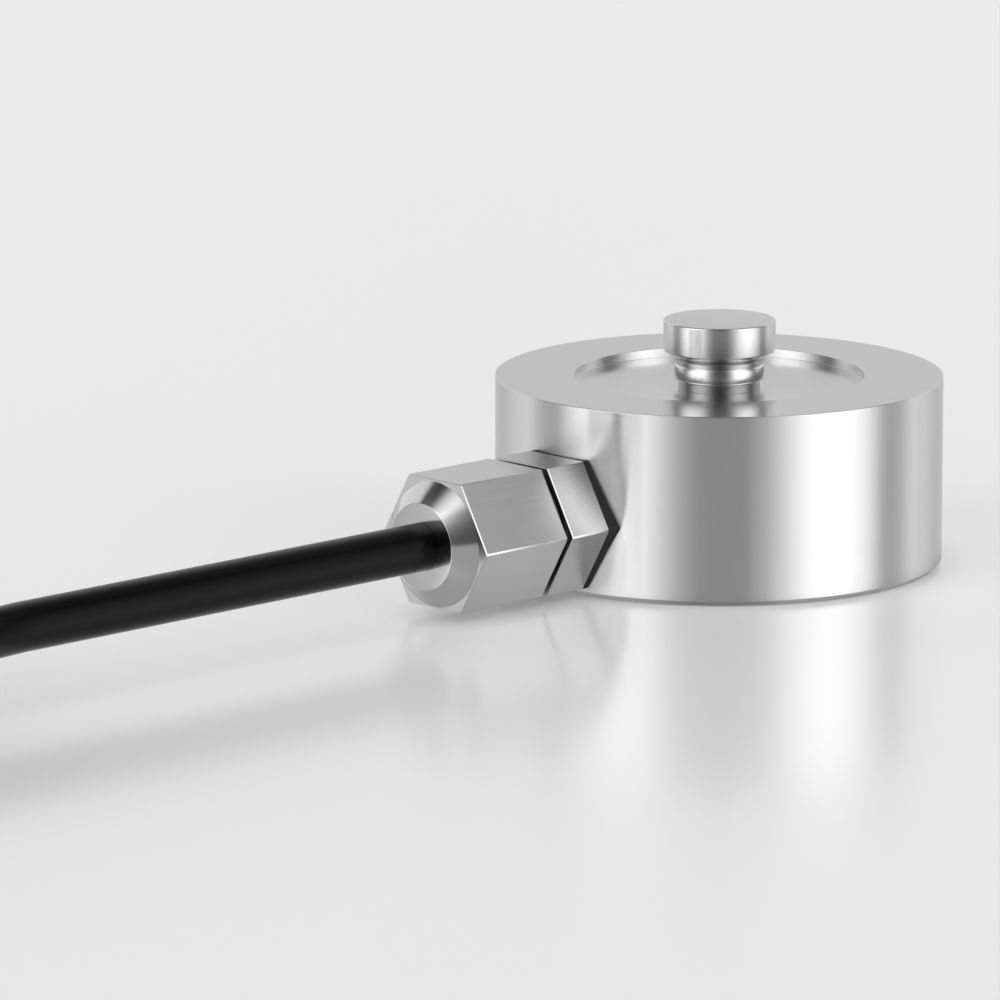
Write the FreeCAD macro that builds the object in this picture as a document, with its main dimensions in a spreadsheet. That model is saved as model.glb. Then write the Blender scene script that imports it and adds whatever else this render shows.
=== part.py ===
import FreeCAD, Part
import Sketcher
import math
import os
from types import SimpleNamespace

Vector = FreeCAD.Vector
UP = Vector(0, 0, 1)

# Driving dimensions in millimetres. Heights are stacked, so each one can be set by itself.
DIMENSIONS = {
    # turned body
    "body_diameter": 35.0,
    "body_height": 14.8,
    "base_chamfer": 0.3,
    "rim_chamfer": 0.12,
    "recess_diameter": 22.64,
    "recess_depth": 1.04,
    "recess_fillet": 0.12,
    # load button, from the recess floor upwards
    "foot_diameter": 6.4,
    "foot_height": 0.69,
    "bead_foot_diameter": 6.6,
    "bead_height": 1.25,
    "bead_bulge": 0.3,
    "neck_diameter": 6.8,
    "neck_height": 0.3,
    "head_taper_height": 0.85,
    "head_diameter": 8.76,
    "head_height": 2.3,
    "head_chamfer": 0.15,
    # gauge cavity under the diaphragm
    "diaphragm_thickness": 1.32,
    "boss_diameter": 6.8,
    "boss_depth": 1.9,
    "wall_thickness": 4.1,
    "gauge_chamber_depth": 2.1,
    "ledge_width": 1.2,
    "cover_seat_width": 1.2,
    "cover_thickness": 1.2,
    "cover_recess": 0.2,
    "cover_bevel": 0.25,
    "fit_clearance": 0.05,
    # bridge board and gauges
    "board_thickness": 0.8,
    "board_hole_diameter": 10.0,
    "gauge_length": 3.4,
    "gauge_width": 2.4,
    "carrier_thickness": 0.06,
    "foil_thickness": 0.03,
    "grid_bar_length": 1.9,
    "grid_bar_width": 0.2,
    "grid_bar_pitch": 0.4,
    "grid_inset": 0.35,
    "tab_length": 0.6,
    "tab_width": 0.8,
    "gauge_to_boss": 0.8,
    "gauge_to_wall": 0.4,
    "gauge_wire_diameter": 0.2,
    "gauge_wire_offset": 0.5,
    "resistor_length": 1.6,
    "resistor_width": 0.8,
    "resistor_height": 0.45,
    "resistor_inset": 4.75,
    # cable gland at the side, its axis level
    "gland_rise": 1.39,
    "across_flats": 10.0,
    "hex_edge": 0.15,
    "gasket_thickness": 0.12,
    "spigot_diameter": 5.9,
    "gland_hex_length": 4.02,
    "nut_gap": 0.45,
    "o_ring_width": 0.65,
    "o_ring_edge": 0.15,
    "nut_wall": 0.85,
    "front_spigot_wall": 1.0,
    "front_spigot_length": 5.8,
    "nut_hex_length": 8.55,
    "nut_cone_length": 1.43,
    "nut_tip_diameter": 6.7,
    "nut_mouth_chamfer": 0.12,
    "seal_seat_depth": 0.6,
    "seal_stand_out": 0.5,
    "washer_thickness": 0.8,
    # cable and its cores
    "cable_diameter": 3.7,
    "jacket_inside": 0.9,
    "core_diameter": 0.7,
    "core_pitch": 1.1,
    "core_lead_in": 0.9,
    "core_rise": 1.9,
    "shield_diameter": 0.5,
    # put-away coil
    "coil_x": -114.0,
    "coil_y": 11.2,
    "coil_angle": 30.0,
    "coil_inner_turn_radius": 14.8,
    "turn_gap": 0.25,
    "layer_gap": 0.1,
    "turns_per_layer": 4,
    "layers": 4,
    "last_turn_angle": 169.0,
    "notch_room": 1.2,
    "tie_thickness": 0.5,
    "tie_width": 3.0,
    "tie_corner": 1.2,
    "sleeve_wall": 0.1,
    "sleeve_length": 8.0,
    "lead_out": 2.5,
    "lane_pitch": 0.92,
    "lane_shift": 0.1,
    "stripped_length": 5.0,
    "conductor_diameter": 0.45,
}


class Size:
    """A length that keeps its number and the sheet expression behind it."""

    def __init__(self, value, text):
        self.value = value
        self.text = text

    def __add__(self, other):
        return Size(self.value + number(other), f"({self.text} + {formula(other)})")

    def __radd__(self, other):
        return Size(number(other) + self.value, f"({formula(other)} + {self.text})")

    def __sub__(self, other):
        return Size(self.value - number(other), f"({self.text} - {formula(other)})")

    def __rsub__(self, other):
        return Size(number(other) - self.value, f"({formula(other)} - {self.text})")

    def __mul__(self, other):
        return Size(self.value * number(other), f"({self.text} * {formula(other)})")

    __rmul__ = __mul__

    def __truediv__(self, other):
        return Size(self.value / number(other), f"({self.text} / {formula(other)})")

    def __neg__(self):
        return 0 - self


def number(size):
    return size.value if isinstance(size, Size) else size


def formula(size):
    return size.text if isinstance(size, Size) else repr(size)


def root(size):
    return Size(math.sqrt(size.value), f"sqrt({size.text})")


doc = FreeCAD.newDocument("LoadCell")
sheet = doc.addObject("Spreadsheet::Sheet", "Sizes")
for row, (alias, value) in enumerate(DIMENSIONS.items(), start=1):
    sheet.set(f"A{row}", alias)
    sheet.set(f"B{row}", str(value))
    sheet.setAlias(f"B{row}", alias)
doc.recompute()
dim = SimpleNamespace(**{a: Size(float(sheet.get(a)), f"Sizes.{a}") for a in DIMENSIONS})

nodes = []


def bind(thing, path, size):
    """Set a property of a document object from the sheet."""
    thing.setExpression(path, formula(size))


def new_body(label):
    body = doc.addObject("PartDesign::Body", label)
    body.Label = label
    nodes.append(body)
    return body


def place(thing, x=0, y=0, z=0, axis=UP, angle=0):
    """Place a sub-part, with its position and turn bound to the sheet."""
    thing.Placement = FreeCAD.Placement(
        Vector(number(x), number(y), number(z)), FreeCAD.Rotation(axis, number(angle))
    )
    for letter, size in (("x", x), ("y", y), ("z", z)):
        if isinstance(size, Size):
            bind(thing, f"Placement.Base.{letter}", size)
    if isinstance(angle, Size):
        bind(thing, "Placement.Rotation.Angle", angle)


def place_on_gland(thing):
    """Turn a piece made along +Z so that it points out of the side, along -X, at the gland's height."""
    place(thing, z=gland_height, axis=Vector(0, 1, 0), angle=-90)


def place_on_coil(thing):
    place(thing, x=dim.coil_x, y=dim.coil_y, angle=dim.coil_angle)


def new_sketch(body, role):
    sketch = body.newObject("Sketcher::SketchObject", f"{body.Name}_sketch")
    plane = next(f for f in body.Origin.OriginFeatures if f.Role == role)
    sketch.AttachmentSupport = (plane, [""])
    sketch.MapMode = "FlatFace"
    return sketch


def arc_between(start, end, radius):
    """The short arc from start to end: to the left for a positive radius, to the right for a negative one."""
    chord = end - start
    rise = math.sqrt(max(radius**2 - (chord.Length / 2) ** 2, 0))
    side = Vector(-chord.y, chord.x, 0).normalize() * math.copysign(rise, radius)
    centre = (start + end) / 2 + side
    first, last = (start, end) if radius > 0 else (end, start)
    angles = [math.atan2(p.y - centre.y, p.x - centre.x) for p in (first, last)]
    return Part.ArcOfCircle(Part.Circle(centre, UP, abs(radius)), *angles)


def add_loop(sketch, points):
    """Add a closed outline. A point is (x, y), or (x, y, radius) where an arc leads to the next point."""
    corners = [Vector(number(p[0]), number(p[1]), 0) for p in points]
    first_id = sketch.GeometryCount
    ends = []
    for i, point in enumerate(points):
        start, end = corners[i], corners[(i + 1) % len(points)]
        if len(point) == 2:
            sketch.addGeometry(Part.LineSegment(start, end))
            ends.append((1, 2))
        else:
            radius = number(point[2])
            sketch.addGeometry(arc_between(start, end, radius))
            ends.append((1, 2) if radius > 0 else (2, 1))
    for i, point in enumerate(points):
        after = (i + 1) % len(points)
        here = first_id + i
        sketch.addConstraint(
            Sketcher.Constraint("Coincident", here, ends[i][1], first_id + after, ends[after][0])
        )
        limits = [("DistanceX", point[0]), ("DistanceY", point[1])]
        for kind, size in limits:
            index = sketch.addConstraint(
                Sketcher.Constraint(kind, -1, 1, here, ends[i][0], number(size))
            )
            if isinstance(size, Size):
                bind(sketch, f"Constraints[{index}]", size)
        if len(point) == 3:
            sign = math.copysign(1, number(point[2]))
            index = sketch.addConstraint(Sketcher.Constraint("Radius", here, abs(number(point[2]))))
            if isinstance(point[2], Size):
                bind(sketch, f"Constraints[{index}]", point[2] * sign)


def add_circle(sketch, radius):
    circle = sketch.addGeometry(Part.Circle(Vector(), UP, number(radius)))
    sketch.addConstraint(Sketcher.Constraint("Coincident", circle, 3, -1, 1))
    index = sketch.addConstraint(Sketcher.Constraint("Radius", circle, number(radius)))
    bind(sketch, f"Constraints[{index}]", radius)


def turn(body, points, angle=360, cut=False):
    """Turn an outline of (radius, height) points about the body's Z axis, or cut that shape away."""
    sketch = new_sketch(body, "XZ_Plane")
    add_loop(sketch, points)
    kind = "PartDesign::Groove" if cut else "PartDesign::Revolution"
    feature = body.newObject(kind, f"{body.Name}_turned")
    feature.Profile = sketch
    feature.ReferenceAxis = (sketch, ["V_Axis"])
    feature.Angle = number(angle)
    if isinstance(angle, Size):
        bind(feature, "Angle", angle)
    return feature


def pad(body, role, loops, length, offset=0, midplane=False, downwards=False):
    """Pad one or two outlines from an origin plane of the body."""
    sketch = new_sketch(body, role)
    for loop in loops:
        add_loop(sketch, loop)
    feature = body.newObject("PartDesign::Pad", f"{body.Name}_pad")
    feature.Profile = sketch
    feature.Length = number(length)
    bind(feature, "Length", length)
    feature.Midplane = midplane
    feature.Reversed = downwards
    if isinstance(offset, Size):
        sketch.AttachmentOffset = FreeCAD.Placement(Vector(0, 0, offset.value), FreeCAD.Rotation())
        bind(sketch, "AttachmentOffset.Base.z", offset)
    return feature


def cut_through(body, role, add_outline):
    """Cut an outline through the body, to both sides of an origin plane."""
    sketch = new_sketch(body, role)
    add_outline(sketch)
    feature = body.newObject("PartDesign::Pocket", f"{body.Name}_cut")
    feature.Profile = sketch
    feature.Type = "ThroughAll"
    feature.Midplane = True
    return feature


def rectangle(x0, y0, x1, y1):
    return [(x0, y0), (x1, y0), (x1, y1), (x0, y1)]


def hexagon(across_flats):
    """A hexagon with a flat on each side of X and a corner on each side of Y."""
    flat = across_flats / 2
    corner = across_flats / math.sqrt(3)
    half = corner / 2
    return [(flat, -half), (flat, half), (0, corner), (-flat, half), (-flat, -half), (0, -corner)]


def pad_hexagon(body, start, length):
    """Pad a hexagon from start and take the sharpness off its six long corners."""
    block = pad(body, "XY_Plane", [hexagon(dim.across_flats)], length, offset=start)
    doc.recompute()
    corners = [
        f"Edge{i}" for i, edge in enumerate(block.Shape.Edges, start=1)
        if abs(edge.tangentAt(edge.FirstParameter).z) > 0.99
    ]
    chamfer = body.newObject("PartDesign::Chamfer", f"{body.Name}_corners")
    chamfer.Base = (block, corners)
    bind(chamfer, "Size", dim.hex_edge)


def rounded_path(points):
    """Straight runs joined by tangent arcs as large as the runs allow. Returns the wire and the radii."""
    edges, radii = [], []
    last = points[0]
    for before, here, after in zip(points, points[1:], points[2:]):
        come, go = here - before, after - here
        reach = 0.45 * min(come.Length, go.Length)
        come.normalize()
        go.normalize()
        half_turn = come.getAngle(go) / 2
        radius = reach / math.tan(half_turn)
        inward = (go - come).normalize()
        start, end = here - come * reach, here + go * reach
        middle = here + inward * (radius / math.cos(half_turn) - radius)
        edges.append(Part.LineSegment(last, start).toShape())
        edges.append(Part.Arc(start, middle, end).toShape())
        radii.append(radius)
        last = end
    edges.append(Part.LineSegment(last, points[-1]).toShape())
    return Part.Wire(edges), radii


def tube(points, diameter):
    """A round wire of this diameter along the points."""
    path, radii = rounded_path(points)
    circle = Part.Circle(points[0], points[1] - points[0], number(diameter) / 2)
    shape = path.makePipeShell([Part.Wire(circle.toShape())], True, False)
    expected = math.pi * number(diameter) ** 2 / 4 * path.Length
    if abs(shape.Volume / expected - 1) > 0.01:
        raise RuntimeError(f"a tube has {shape.Volume:.3f} mm3 where {expected:.3f} are expected")
    return shape, radii, path.Length


def new_feature(label, shape):
    feature = doc.addObject("Part::Feature", label)
    feature.Label = label
    feature.Shape = shape
    nodes.append(feature)
    return feature


# Heights and radii that several pieces share.
body_radius = dim.body_diameter / 2
recess_floor = dim.body_height - dim.recess_depth
ceiling = recess_floor - dim.diaphragm_thickness
ledge = ceiling - dim.gauge_chamber_depth
board_underside = ledge - dim.board_thickness
cavity_radius = body_radius - dim.wall_thickness
gauge_wall = cavity_radius - dim.ledge_width
boss_radius = dim.boss_diameter / 2
cover_seat = dim.cover_recess + dim.cover_thickness
cover_seat_radius = cavity_radius + dim.cover_seat_width
board_radius = cavity_radius - dim.fit_clearance
board_hole = dim.board_hole_diameter / 2

# The gland's axis and radii, and distances along it from the body's axis outwards.
spigot_radius = dim.spigot_diameter / 2
gland_height = cover_seat + dim.gland_rise + spigot_radius
nut_thread = dim.across_flats / 2 - dim.nut_wall
front_spigot = nut_thread - dim.fit_clearance
seal_pocket = front_spigot - dim.front_spigot_wall
gland_start = body_radius + dim.gasket_thickness
gland_front = gland_start + dim.gland_hex_length
nut_start = gland_front + dim.nut_gap
nut_shoulder_back = gland_front + dim.front_spigot_length + dim.seal_stand_out
nut_shoulder = nut_shoulder_back + dim.washer_thickness
nut_cone_start = nut_start + dim.nut_hex_length
nut_tip = nut_cone_start + dim.nut_cone_length
spigot_end = cavity_radius + dim.fit_clearance
jacket_end = cavity_radius - dim.jacket_inside
cable_hole = dim.cable_diameter / 2 + dim.fit_clearance

# Radii and heights of the coil's turns.
cable_radius = dim.cable_diameter / 2
turn_pitch = dim.cable_diameter + dim.turn_gap
layer_pitch = dim.cable_diameter + dim.layer_gap
outer_turn_radius = dim.coil_inner_turn_radius + turn_pitch * (dim.turns_per_layer - 1)
first_layer = dim.tie_thickness + cable_radius
last_layer = first_layer + layer_pitch * (dim.layers - 1)
coil_step = last_layer - cable_radius
coil_top = last_layer + cable_radius
coil_inside = dim.coil_inner_turn_radius - cable_radius
coil_outside = outer_turn_radius + cable_radius


def make_sensing_body():
    """Outer ring, diaphragm and load button turned in one piece, open below and bored for the gland."""
    recess = dim.recess_diameter / 2
    fillet = dim.recess_fillet
    foot_high = recess_floor + dim.foot_height
    bead_high = foot_high + dim.bead_height
    neck_high = bead_high + dim.neck_height
    head_low = neck_high + dim.head_taper_height
    head_top = head_low + dim.head_height
    foot, bead_foot = dim.foot_diameter / 2, dim.bead_foot_diameter / 2
    neck, head = dim.neck_diameter / 2, dim.head_diameter / 2
    bead_step = bead_foot - neck
    bead_chord = dim.bead_height * dim.bead_height + bead_step * bead_step
    bead = bead_chord / (8 * dim.bead_bulge) + dim.bead_bulge / 2
    boss_low = ceiling - dim.boss_depth
    body = new_body("sensing_body")
    turn(body, [
        (cover_seat_radius, 0),
        (body_radius - dim.base_chamfer, 0),
        (body_radius, dim.base_chamfer),
        (body_radius, dim.body_height - dim.rim_chamfer),
        (body_radius - dim.rim_chamfer, dim.body_height),
        (recess, dim.body_height),
        (recess, recess_floor + fillet, -fillet),
        (recess - fillet, recess_floor),
        (foot, recess_floor),
        (foot, foot_high),
        (bead_foot, foot_high, bead),
        (neck, bead_high),
        (neck, neck_high),
        (head, head_low),
        (head, head_top - dim.head_chamfer),
        (head - dim.head_chamfer, head_top),
        (0, head_top),
        (0, boss_low),
        (boss_radius, boss_low),
        (boss_radius, ceiling),
        (gauge_wall, ceiling),
        (gauge_wall, ledge),
        (cavity_radius, ledge),
        (cavity_radius, cover_seat),
        (cover_seat_radius, cover_seat),
    ])
    bore_sketch = new_sketch(body, "YZ_Plane")
    bore = bore_sketch.addGeometry(
        Part.Circle(Vector(0, number(gland_height), 0), UP, number(spigot_radius))
    )
    bore_radius = spigot_radius + dim.fit_clearance
    for kind, size in (("DistanceX", 0), ("DistanceY", gland_height)):
        index = bore_sketch.addConstraint(Sketcher.Constraint(kind, -1, 1, bore, 3, number(size)))
        if isinstance(size, Size):
            bind(bore_sketch, f"Constraints[{index}]", size)
    index = bore_sketch.addConstraint(Sketcher.Constraint("Radius", bore, number(bore_radius)))
    bind(bore_sketch, f"Constraints[{index}]", bore_radius)
    pocket = body.newObject("PartDesign::Pocket", "gland_bore")
    pocket.Profile = bore_sketch
    bind(pocket, "Length", dim.body_diameter)


def make_base_cover():
    """Disc welded into its seat, a little short of the base plane."""
    radius = cover_seat_radius - dim.fit_clearance
    body = new_body("base_cover")
    turn(body, [
        (0, dim.cover_recess),
        (radius - dim.cover_bevel, dim.cover_recess),
        (radius, dim.cover_recess + dim.cover_bevel),
        (radius, cover_seat),
        (0, cover_seat),
    ])


def make_terminal_board():
    """Ring board glued under the ledge of the cavity."""
    body = new_body("terminal_board")
    turn(body, [
        (board_hole, board_underside), (board_radius, board_underside),
        (board_radius, ledge), (board_hole, ledge),
    ])


def make_gauge(letter, radius, angle):
    """Foil gauge bonded to the diaphragm: a carrier, a grid of bars and two solder tabs, radial along X."""
    half_length, half_width = dim.gauge_length / 2, dim.gauge_width / 2
    depth = dim.carrier_thickness + dim.foil_thickness
    body = new_body(f"strain_gauge_{letter}")
    outline = rectangle(radius - half_length, -half_width, radius + half_length, half_width)
    pad(body, "XY_Plane", [outline], dim.carrier_thickness, downwards=True)
    bar_start = radius - half_length + dim.grid_inset
    first_bar = dim.grid_bar_pitch * -2
    bar = rectangle(
        bar_start, first_bar - dim.grid_bar_width / 2,
        bar_start + dim.grid_bar_length, first_bar + dim.grid_bar_width / 2,
    )
    bars = pad(body, "XY_Plane", [bar], depth, downwards=True)
    doc.recompute()
    pattern = body.newObject("PartDesign::LinearPattern", f"{body.Name}_grid")
    pattern.Originals = [bars]
    pattern.Direction = (bars.Profile[0], ["V_Axis"])
    pattern.Occurrences = 5
    bind(pattern, "Length", dim.grid_bar_pitch * 4)
    body.Tip = pattern
    doc.recompute()
    tab_end = radius + half_length - dim.grid_bar_width
    for side in (-1, 1):
        middle = dim.gauge_wire_offset * side
        tab = rectangle(
            tab_end - dim.tab_length, middle - dim.tab_width / 2,
            tab_end, middle + dim.tab_width / 2,
        )
        pad(body, "XY_Plane", [tab], depth, downwards=True)
    place(body, z=ceiling, angle=angle)
    make_gauge_leads(letter, tab_end - dim.tab_length / 2, depth, angle)


def make_gauge_leads(letter, tab_radius, gauge_depth, angle):
    """Two fine wires from a gauge's tabs straight down to the board."""
    radius, low = number(tab_radius), number(ledge)
    fall = number(ceiling) - number(gauge_depth) - low
    wires = [
        Part.makeCylinder(
            number(dim.gauge_wire_diameter) / 2, fall,
            Vector(radius, side * number(dim.gauge_wire_offset), low), UP,
        )
        for side in (-1, 1)
    ]
    leads = new_feature(f"gauge_leads_{letter}", Part.makeCompound(wires))
    place(leads, angle=angle)


def make_resistor(label, angle):
    """Chip resistor soldered to the underside of the board."""
    chip = doc.addObject("Part::Box", label)
    chip.Label = label
    bind(chip, "Length", dim.resistor_width)
    bind(chip, "Width", dim.resistor_length)
    bind(chip, "Height", dim.resistor_height)
    turn_by = math.radians(angle)
    along = Vector(math.cos(turn_by), math.sin(turn_by), 0)
    across = Vector(-along.y, along.x, 0)
    out, back = board_radius - dim.resistor_inset, dim.resistor_length / 2
    place(
        chip,
        x=out * along.x - back * across.x,
        y=out * along.y - back * across.y,
        z=board_underside - dim.resistor_height,
        angle=angle,
    )
    nodes.append(chip)


def make_gasket():
    """Rubber gasket between the gland's hexagon and the round wall of the body."""
    body = new_body("gland_gasket")
    pad(body, "XY_Plane", [hexagon(dim.across_flats)], gland_start)
    cut_through(body, "YZ_Plane", lambda sketch: add_circle(sketch, body_radius))
    hole = spigot_radius + dim.fit_clearance
    cut_through(body, "XY_Plane", lambda sketch: add_circle(sketch, hole))
    place_on_gland(body)


def make_gland_body():
    """Hexagonal fitting with a spigot into the wall and a front spigot that holds the seal."""
    front_end = gland_front + dim.front_spigot_length
    seat_high = gland_front + dim.seal_seat_depth
    seat_low = seat_high - (seal_pocket - cable_hole)
    body = new_body("gland_body")
    pad_hexagon(body, gland_start, dim.gland_hex_length)
    turn(body, [
        (0, spigot_end), (spigot_radius, spigot_end), (spigot_radius, gland_front), (0, gland_front),
    ])
    turn(body, [(0, gland_start), (front_spigot, gland_start), (front_spigot, front_end), (0, front_end)])
    turn(body, [
        (0, spigot_end), (cable_hole, spigot_end), (cable_hole, seat_low),
        (seal_pocket, seat_high), (seal_pocket, front_end), (0, front_end),
    ], cut=True)
    place_on_gland(body)


def make_nut_o_ring():
    """Black ring squeezed flat in the gap between the fitting and the nut."""
    inside = front_spigot + dim.fit_clearance
    outside = inside + dim.o_ring_width
    edge = dim.o_ring_edge
    body = new_body("nut_o_ring")
    turn(body, [
        (inside, gland_front), (outside - edge, gland_front), (outside, gland_front + edge),
        (outside, nut_start - edge), (outside - edge, nut_start), (inside, nut_start),
    ])
    place_on_gland(body)


def make_gland_seal():
    """Rubber sleeve around the cable, tapered where it meets the seat of the fitting."""
    outside, inside = seal_pocket - dim.fit_clearance, cable_hole - dim.fit_clearance / 2
    seat_high = gland_front + dim.seal_seat_depth + dim.fit_clearance
    front = nut_shoulder_back
    taper = outside - cable_hole
    body = new_body("gland_seal")
    turn(body, [
        (inside, seat_high - taper), (cable_hole, seat_high - taper), (outside, seat_high),
        (outside, front), (inside, front),
    ])
    place_on_gland(body)


def make_gland_washer():
    """Slip washer, so that the turning nut doesn't twist the seal."""
    body = new_body("gland_washer")
    outside = nut_thread - dim.fit_clearance
    turn(body, [
        (cable_hole, nut_shoulder_back), (outside, nut_shoulder_back),
        (outside, nut_shoulder), (cable_hole, nut_shoulder),
    ])
    place_on_gland(body)


def make_gland_nut():
    """Cap nut: hexagon, coned end with a flat face, threaded bore with a shoulder and a cable hole."""
    tip = dim.nut_tip_diameter / 2
    body = new_body("gland_nut")
    pad_hexagon(body, nut_start, dim.nut_hex_length)
    turn(body, [(0, nut_start), (dim.across_flats / 2, nut_start),
                (dim.across_flats / 2, nut_cone_start), (tip, nut_tip), (0, nut_tip)])
    turn(body, [
        (0, nut_start), (nut_thread, nut_start), (nut_thread, nut_shoulder), (cable_hole, nut_shoulder),
        (cable_hole, nut_tip - dim.nut_mouth_chamfer),
        (cable_hole + dim.nut_mouth_chamfer, nut_tip), (0, nut_tip),
    ], cut=True)
    place_on_gland(body)


def make_cable_entry():
    """The stretch of cable that the gland holds, from inside the cavity to the nut's face."""
    entry = doc.addObject("Part::Cylinder", "cable_entry")
    entry.Label = "cable_entry"
    bind(entry, "Radius", cable_radius)
    bind(entry, "Height", nut_tip - jacket_end)
    place_on_gland(entry)
    entry.Placement.Base = Vector(-number(jacket_end), 0, number(gland_height))
    bind(entry, "Placement.Base.x", -jacket_end)
    nodes.append(entry)


def make_core(label, diameter, across, up, share, angle):
    """A core from the jacket's end to a solder pad, at a share of the board's width from its hole."""
    start = Vector(-number(jacket_end), across, number(gland_height) + up)
    radius = number(board_hole) + share * number(board_radius - board_hole)
    turn_by = math.radians(angle)
    pad_x, pad_y = -radius * math.cos(turn_by), radius * math.sin(turn_by)
    low = number(board_underside)
    route = [
        start,
        start + Vector(number(dim.core_lead_in), 0, 0),
        Vector(pad_x, pad_y, low - number(dim.core_rise)),
        Vector(pad_x, pad_y, low),
    ]
    new_feature(label, tube(route, diameter)[0])


def make_cores():
    half = number(dim.core_pitch) / 2
    make_core("core_red", dim.core_diameter, half, half, 0.55, 10)
    make_core("core_black", dim.core_diameter, -half, half, 0.55, -10)
    make_core("core_green", dim.core_diameter, half, -half, 0.3, 27)
    make_core("core_white", dim.core_diameter, -half, -half, 0.3, -27)
    make_core("core_shield", dim.shield_diameter, 0, -2.2 * half, 0.2, 0)


# The cable's route after the nut's face: the bend, level with the gland, and the fall towards the coil.
cable_bend = (-79.0, 0.0)
cable_fall = (-91.2, -6.4, 2.6)


def make_cable_run():
    """The free cable: straight out of the gland, then down to the outer turn of the coil's lowest layer."""
    height = number(gland_height)
    join = coil_placement().multVec(Vector(0, -number(outer_turn_radius), number(first_layer)))
    route = [
        Vector(-number(nut_tip), 0, height),
        Vector(*cable_bend, height),
        Vector(*cable_fall),
        join,
    ]
    shape, radii, length = tube(route, dim.cable_diameter)
    print("cable_run radii", [round(r, 1) for r in radii], "length", round(length, 1))
    new_feature("cable_run", shape)


def coil_placement():
    turned = FreeCAD.Rotation(UP, number(dim.coil_angle))
    return FreeCAD.Placement(Vector(number(dim.coil_x), number(dim.coil_y), 0), turned)


def make_cable_coil():
    """Outer shape of the wound cable: full layers, a narrower top layer and the part turn that ends it."""
    low = dim.tie_thickness
    step_radius = coil_outside - turn_pitch
    body = new_body("cable_coil")
    turn(body, [
        (coil_inside, low), (coil_outside, low), (coil_outside, coil_step),
        (step_radius, coil_step), (step_radius, coil_top), (coil_inside, coil_top),
    ])
    turn(body, [
        (step_radius, coil_step), (coil_outside, coil_step),
        (coil_outside, coil_top), (step_radius, coil_top),
    ], angle=dim.last_turn_angle)
    sketch = new_sketch(body, "XY_Plane")
    notch_depth = outer_turn_radius - cable_radius - dim.fit_clearance
    add_loop(sketch, rectangle(dim.fit_clearance * -2, -coil_outside * 1.1, coil_outside, -notch_depth))
    notch = body.newObject("PartDesign::Pocket", "cable_notch")
    notch.Profile = sketch
    notch.Reversed = True
    bind(notch, "Length", dim.tie_thickness + dim.cable_diameter + dim.notch_room)
    place_on_coil(body)


def make_coil_tie(letter, angle):
    """Flat tie around the bundle of turns. The coil lies on its ties."""
    gap, thick, corner = dim.fit_clearance, dim.tie_thickness, dim.tie_corner
    low, high = thick - gap, coil_top + gap
    bow = dim.tie_width * dim.tie_width / (8 * coil_inside)
    inside, outside = coil_inside - bow - gap, coil_outside + gap

    def rounded(x0, z0, x1, z1, radius):
        return [
            (x0 + radius, z0), (x1 - radius, z0, radius), (x1, z0 + radius), (x1, z1 - radius, radius),
            (x1 - radius, z1), (x0 + radius, z1, radius), (x0, z1 - radius), (x0, z0 + radius, radius),
        ]

    wall = thick - gap
    body = new_body(f"coil_tie_{letter}")
    loops = [
        rounded(inside - wall, low - wall, outside + wall, high + wall, corner),
        rectangle(inside, low, outside, high),
    ]
    pad(body, "XZ_Plane", loops, dim.tie_width, midplane=True)
    place(body, x=dim.coil_x, y=dim.coil_y, angle=dim.coil_angle + angle)


def make_tail():
    """Shrink sleeve at the jacket's end and the flying leads, which lie on the coil's outer turn."""
    radius, height = number(outer_turn_radius), number(last_layer)
    length = number(dim.sleeve_length)
    sleeve = doc.addObject("Part::Cylinder", "tail_sleeve")
    sleeve.Label = "tail_sleeve"
    bind(sleeve, "Radius", cable_radius + dim.sleeve_wall)
    bind(sleeve, "Height", dim.sleeve_length)
    seat = Vector(radius, 0, height + number(dim.sleeve_wall))
    turned = FreeCAD.Rotation(Vector(1, 0, 0), 90)
    sleeve.Placement = coil_placement() * FreeCAD.Placement(seat, turned)
    nodes.append(sleeve)
    half = number(dim.core_pitch) / 2
    core = number(dim.core_diameter)
    rest = number(coil_step) + core / 2
    leads = (
        ("lead_red", 1, 1, 3),
        ("lead_green", 1, -1, 1),
        ("lead_white", -1, -1, -1),
        ("lead_black", -1, 1, -3),
    )
    ends = []
    middle = radius + number(dim.lane_shift)
    for label, across, up, lane in leads:
        start = Vector(radius + across * half, -length, seat.z + up * half)
        shape, end = make_lead(start, middle + lane * number(dim.lane_pitch) / 2, rest, core)
        place_on_coil(new_feature(label, shape))
        ends.append(end)
    shield_rest = rest + number(dim.shield_diameter)
    start = Vector(radius, -length, seat.z)
    shield, _ = make_lead(start, middle, shield_rest, number(dim.shield_diameter))
    place_on_coil(new_feature("lead_shield", shield))
    place_on_coil(new_feature("stripped_ends", Part.makeCompound(ends)))


# Where a lead turns, as degrees round the coil past the jacket's end.
lead_turns = (-42.0, -64.0)


def make_lead(start, lane, rest, diameter):
    """One lead from the sleeve along a lane of the coil, and the stripped end that carries on from it."""
    route = [start, start + Vector(0, -number(dim.lead_out), 0)]
    for angle in lead_turns:
        turn_by = math.radians(angle)
        route.append(Vector(lane * math.cos(turn_by), lane * math.sin(turn_by), rest))
    shape, _, _ = tube(route, diameter)
    onward = (route[-1] - route[-2]).normalize()
    bare = Part.makeCylinder(
        number(dim.conductor_diameter) / 2, number(dim.stripped_length), route[-1], onward
    )
    return shape, bare


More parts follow.
